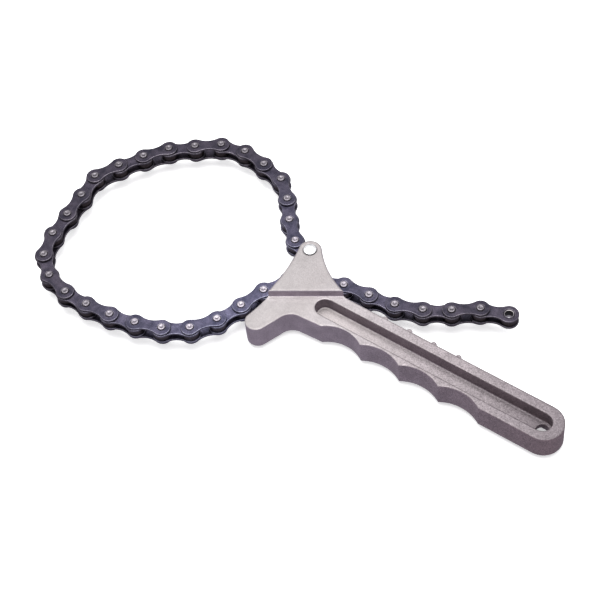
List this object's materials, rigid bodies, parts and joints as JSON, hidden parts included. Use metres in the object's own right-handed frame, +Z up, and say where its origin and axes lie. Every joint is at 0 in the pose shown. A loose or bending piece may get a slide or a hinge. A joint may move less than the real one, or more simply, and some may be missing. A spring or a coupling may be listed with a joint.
{
  "type": "chain strap wrench",
  "caption": "Hand wrench with a cast handle, forked head and a roller-chain loop that tightens round a filter or pipe, with a free chain tail.",
  "frame": {"origin": "on the flat underside of the lower ear, where the line of the handle's back edge meets the cross line through the anchor pin", "axes": "+X along the handle from head to hanging hole, +Y towards the anchor lug, +Z up through the thickness"},
  "size_m": [0.2626, 0.1206, 0.0193],
  "materials": {
    "casting": "as cast, fine grain blasted",
    "anchor_pin": "bright zinc plated",
    "inner_link": "blued, lightly oiled",
    "outer_link": "blued, lightly oiled",
    "link_pins": "bright ground ends"
  },
  "bodies": {
    "handle": {"handle": "casting", "anchor_pin": "anchor_pin"},
    "inner_link_01": {"inner_link_01": "inner_link"},
    "outer_link_01": {"outer_link_01": "outer_link", "link_pins_01": "link_pins"},
    "inner_link_02": {"inner_link_02": "inner_link"},
    "outer_link_02": {"outer_link_02": "outer_link", "link_pins_02": "link_pins"},
    "inner_link_03": {"inner_link_03": "inner_link"},
    "outer_link_03": {"outer_link_03": "outer_link", "link_pins_03": "link_pins"},
    "inner_link_04": {"inner_link_04": "inner_link"},
    "outer_link_04": {"outer_link_04": "outer_link", "link_pins_04": "link_pins"},
    "inner_link_05": {"inner_link_05": "inner_link"},
    "outer_link_05": {"outer_link_05": "outer_link", "link_pins_05": "link_pins"},
    "inner_link_06": {"inner_link_06": "inner_link"},
    "outer_link_06": {"outer_link_06": "outer_link", "link_pins_06": "link_pins"},
    "inner_link_07": {"inner_link_07": "inner_link"},
    "outer_link_07": {"outer_link_07": "outer_link", "link_pins_07": "link_pins"},
    "inner_link_08": {"inner_link_08": "inner_link"},
    "outer_link_08": {"outer_link_08": "outer_link", "link_pins_08": "link_pins"},
    "inner_link_09": {"inner_link_09": "inner_link"},
    "outer_link_09": {"outer_link_09": "outer_link", "link_pins_09": "link_pins"},
    "inner_link_10": {"inner_link_10": "inner_link"},
    "outer_link_10": {"outer_link_10": "outer_link", "link_pins_10": "link_pins"},
    "inner_link_11": {"inner_link_11": "inner_link"},
    "outer_link_11": {"outer_link_11": "outer_link", "link_pins_11": "link_pins"},
    "inner_link_12": {"inner_link_12": "inner_link"},
    "outer_link_12": {"outer_link_12": "outer_link", "link_pins_12": "link_pins"},
    "inner_link_13": {"inner_link_13": "inner_link"},
    "outer_link_13": {"outer_link_13": "outer_link", "link_pins_13": "link_pins"},
    "inner_link_14": {"inner_link_14": "inner_link"},
    "outer_link_14": {"outer_link_14": "outer_link", "link_pins_14": "link_pins"},
    "inner_link_15": {"inner_link_15": "inner_link"},
    "outer_link_15": {"outer_link_15": "outer_link", "link_pins_15": "link_pins"},
    "inner_link_16": {"inner_link_16": "inner_link"},
    "outer_link_16": {"outer_link_16": "outer_link", "link_pins_16": "link_pins"},
    "inner_link_17": {"inner_link_17": "inner_link"},
    "outer_link_17": {"outer_link_17": "outer_link", "link_pins_17": "link_pins"},
    "inner_link_18": {"inner_link_18": "inner_link"}
  },
  "joints": [
    {"name": "chain_pull", "type": "slide", "parent": "handle", "child": "outer_link_14", "axis": [0.8326, 0.5539, 0], "range_m": [0, 0.008]},
    {"name": "anchor_hinge", "type": "hinge", "parent": "handle", "child": "inner_link_01", "pos_m": [0, 0.0114, 0.0094], "axis": [0, 0, 1], "range_deg": [0, 2.04]},
    {"name": "loop_hinge_01", "type": "hinge", "parent": "inner_link_01", "child": "outer_link_01", "pos_m": [-0.01191, 0.0158, 0.0094], "axis": [0, 0, 1], "range_deg": [0, 1.92]},
    {"name": "loop_hinge_02", "type": "hinge", "parent": "outer_link_01", "child": "inner_link_02", "pos_m": [-0.02126, 0.0244, 0.0094], "axis": [0, 0, 1], "range_deg": [-1.92, 0]},
    {"name": "loop_hinge_03", "type": "hinge", "parent": "inner_link_02", "child": "outer_link_02", "pos_m": [-0.02942, 0.03413, 0.0094], "axis": [0, 0, 1], "range_deg": [-1.92, 0]},
    {"name": "loop_hinge_04", "type": "hinge", "parent": "outer_link_02", "child": "inner_link_03", "pos_m": [-0.03898, 0.04249, 0.0094], "axis": [0, 0, 1], "range_deg": [-2.15, 0]},
    {"name": "loop_hinge_05", "type": "hinge", "parent": "inner_link_03", "child": "outer_link_03", "pos_m": [-0.05129, 0.04562, 0.0094], "axis": [0, 0, 1], "range_deg": [-2.54, 0]},
    {"name": "loop_hinge_06", "type": "hinge", "parent": "outer_link_03", "child": "inner_link_04", "pos_m": [-0.06386, 0.04742, 0.0094], "axis": [0, 0, 1], "range_deg": [-2.94, 0]},
    {"name": "loop_hinge_07", "type": "hinge", "parent": "inner_link_04", "child": "outer_link_04", "pos_m": [-0.07632, 0.04494, 0.0094], "axis": [0, 0, 1], "range_deg": [-2.93, 0]},
    {"name": "loop_hinge_08", "type": "hinge", "parent": "outer_link_04", "child": "inner_link_05", "pos_m": [-0.08653, 0.03739, 0.0094], "axis": [0, 0, 1], "range_deg": [-2.05, 0]},
    {"name": "loop_hinge_09", "type": "hinge", "parent": "inner_link_05", "child": "outer_link_05", "pos_m": [-0.09645, 0.02946, 0.0094], "axis": [0, 0, 1], "range_deg": [0, 1.92]},
    {"name": "loop_hinge_10", "type": "hinge", "parent": "outer_link_05", "child": "inner_link_06", "pos_m": [-0.10397, 0.01922, 0.0094], "axis": [0, 0, 1], "range_deg": [0, 2.44]},
    {"name": "loop_hinge_11", "type": "hinge", "parent": "inner_link_06", "child": "outer_link_06", "pos_m": [-0.11055, 0.00836, 0.0094], "axis": [0, 0, 1], "range_deg": [0, 3.6]},
    {"name": "loop_hinge_12", "type": "hinge", "parent": "outer_link_06", "child": "inner_link_07", "pos_m": [-0.11604, -0.00309, 0.0094], "axis": [0, 0, 1], "range_deg": [0, 4.7]},
    {"name": "loop_hinge_13", "type": "hinge", "parent": "inner_link_07", "child": "outer_link_07", "pos_m": [-0.11408, -0.01564, 0.0094], "axis": [0, 0, 1], "range_deg": [0, 4.91]},
    {"name": "loop_hinge_14", "type": "hinge", "parent": "outer_link_07", "child": "inner_link_08", "pos_m": [-0.11231, -0.02821, 0.0094], "axis": [0, 0, 1], "range_deg": [0, 3.49]},
    {"name": "loop_hinge_15", "type": "hinge", "parent": "inner_link_08", "child": "outer_link_08", "pos_m": [-0.11061, -0.0408, 0.0094], "axis": [0, 0, 1], "range_deg": [-1.92, 0]},
    {"name": "loop_hinge_17", "type": "hinge", "parent": "outer_link_09", "child": "inner_link_09", "pos_m": [-0.09604, -0.06047, 0.0094], "axis": [0, 0, 1], "range_deg": [0, 2.32]},
    {"name": "loop_hinge_18", "type": "hinge", "parent": "inner_link_10", "child": "outer_link_09", "pos_m": [-0.08377, -0.06375, 0.0094], "axis": [0, 0, 1], "range_deg": [0, 2.31]},
    {"name": "loop_hinge_19", "type": "hinge", "parent": "outer_link_10", "child": "inner_link_10", "pos_m": [-0.07107, -0.064, 0.0094], "axis": [0, 0, 1], "range_deg": [0, 2.05]},
    {"name": "loop_hinge_20", "type": "hinge", "parent": "inner_link_11", "child": "outer_link_10", "pos_m": [-0.05844, -0.06273, 0.0094], "axis": [0, 0, 1], "range_deg": [0, 1.92]},
    {"name": "loop_hinge_21", "type": "hinge", "parent": "outer_link_11", "child": "inner_link_11", "pos_m": [-0.04601, -0.06011, 0.0094], "axis": [0, 0, 1], "range_deg": [0, 1.92]},
    {"name": "loop_hinge_22", "type": "hinge", "parent": "inner_link_12", "child": "outer_link_11", "pos_m": [-0.034, -0.05597, 0.0094], "axis": [0, 0, 1], "range_deg": [0, 1.92]},
    {"name": "loop_hinge_23", "type": "hinge", "parent": "outer_link_12", "child": "inner_link_12", "pos_m": [-0.02332, -0.04911, 0.0094], "axis": [0, 0, 1], "range_deg": [0, 1.92]},
    {"name": "loop_hinge_24", "type": "hinge", "parent": "inner_link_13", "child": "outer_link_12", "pos_m": [-0.01584, -0.03884, 0.0094], "axis": [0, 0, 1], "range_deg": [0, 2.16]},
    {"name": "loop_hinge_25", "type": "hinge", "parent": "outer_link_13", "child": "inner_link_13", "pos_m": [-0.01122, -0.02701, 0.0094], "axis": [0, 0, 1], "range_deg": [0, 3.04]},
    {"name": "loop_hinge_26", "type": "hinge", "parent": "inner_link_14", "child": "outer_link_13", "pos_m": [-0.00758, -0.01484, 0.0094], "axis": [0, 0, 1], "range_deg": [0, 3.78]},
    {"name": "loop_hinge_27", "type": "hinge", "parent": "outer_link_14", "child": "inner_link_14", "pos_m": [-0.00147, -0.00371, 0.0094], "axis": [0, 0, 1], "range_deg": [-14.12, 0]},
    {"name": "tail_hinge_1", "type": "hinge", "parent": "outer_link_14", "child": "inner_link_15", "pos_m": [0.00911, 0.00332, 0.0094], "axis": [0, 0, 1], "range_deg": [-1, 20]},
    {"name": "tail_hinge_2", "type": "hinge", "parent": "inner_link_15", "child": "outer_link_15", "pos_m": [0.02134, 0.00675, 0.0094], "axis": [0, 0, 1], "range_deg": [-1, 30]},
    {"name": "tail_hinge_3", "type": "hinge", "parent": "outer_link_15", "child": "inner_link_16", "pos_m": [0.03396, 0.00814, 0.0094], "axis": [0, 0, 1], "range_deg": [-1, 30]},
    {"name": "tail_hinge_4", "type": "hinge", "parent": "inner_link_16", "child": "outer_link_16", "pos_m": [0.04654, 0.00988, 0.0094], "axis": [0, 0, 1], "range_deg": [-12, 30]},
    {"name": "tail_hinge_5", "type": "hinge", "parent": "outer_link_16", "child": "inner_link_17", "pos_m": [0.05851, 0.01413, 0.0094], "axis": [0, 0, 1], "range_deg": [-12, 30]},
    {"name": "tail_hinge_6", "type": "hinge", "parent": "inner_link_17", "child": "outer_link_17", "pos_m": [0.06938, 0.0207, 0.0094], "axis": [0, 0, 1], "range_deg": [-7, 30]},
    {"name": "tail_hinge_7", "type": "hinge", "parent": "outer_link_17", "child": "inner_link_18", "pos_m": [0.0796, 0.02824, 0.0094], "axis": [0, 0, 1], "range_deg": [-8, 30]}
  ],
  "couplings": [
    {"joint": "anchor_hinge", "follows": "chain_pull", "rad_per_m": 3.4759},
    {"joint": "loop_hinge_01", "follows": "chain_pull", "rad_per_m": 3.2001},
    {"joint": "loop_hinge_02", "follows": "chain_pull", "rad_per_m": -3.2},
    {"joint": "loop_hinge_03", "follows": "chain_pull", "rad_per_m": -3.2001},
    {"joint": "loop_hinge_04", "follows": "chain_pull", "rad_per_m": -3.709},
    {"joint": "loop_hinge_05", "follows": "chain_pull", "rad_per_m": -4.5592},
    {"joint": "loop_hinge_06", "follows": "chain_pull", "rad_per_m": -5.4361},
    {"joint": "loop_hinge_07", "follows": "chain_pull", "rad_per_m": -5.4098},
    {"joint": "loop_hinge_08", "follows": "chain_pull", "rad_per_m": -3.4828},
    {"joint": "loop_hinge_09", "follows": "chain_pull", "rad_per_m": 3.2},
    {"joint": "loop_hinge_10", "follows": "chain_pull", "rad_per_m": 4.3435},
    {"joint": "loop_hinge_11", "follows": "chain_pull", "rad_per_m": 6.8805},
    {"joint": "loop_hinge_12", "follows": "chain_pull", "rad_per_m": 9.2758},
    {"joint": "loop_hinge_13", "follows": "chain_pull", "rad_per_m": 9.7308},
    {"joint": "loop_hinge_14", "follows": "chain_pull", "rad_per_m": 6.6379},
    {"joint": "loop_hinge_15", "follows": "chain_pull", "rad_per_m": -3.2},
    {"joint": "loop_hinge_17", "follows": "chain_pull", "rad_per_m": 4.0864},
    {"joint": "loop_hinge_18", "follows": "chain_pull", "rad_per_m": 4.0593},
    {"joint": "loop_hinge_19", "follows": "chain_pull", "rad_per_m": 3.4896},
    {"joint": "loop_hinge_20", "follows": "chain_pull", "rad_per_m": 3.2066},
    {"joint": "loop_hinge_21", "follows": "chain_pull", "rad_per_m": 3.2005},
    {"joint": "loop_hinge_22", "follows": "chain_pull", "rad_per_m": 3.2},
    {"joint": "loop_hinge_23", "follows": "chain_pull", "rad_per_m": 3.2001},
    {"joint": "loop_hinge_24", "follows": "chain_pull", "rad_per_m": 3.7242},
    {"joint": "loop_hinge_25", "follows": "chain_pull", "rad_per_m": 5.6528},
    {"joint": "loop_hinge_26", "follows": "chain_pull", "rad_per_m": 7.2579},
    {"joint": "loop_hinge_27", "follows": "chain_pull", "rad_per_m": -29.822}
  ]
}
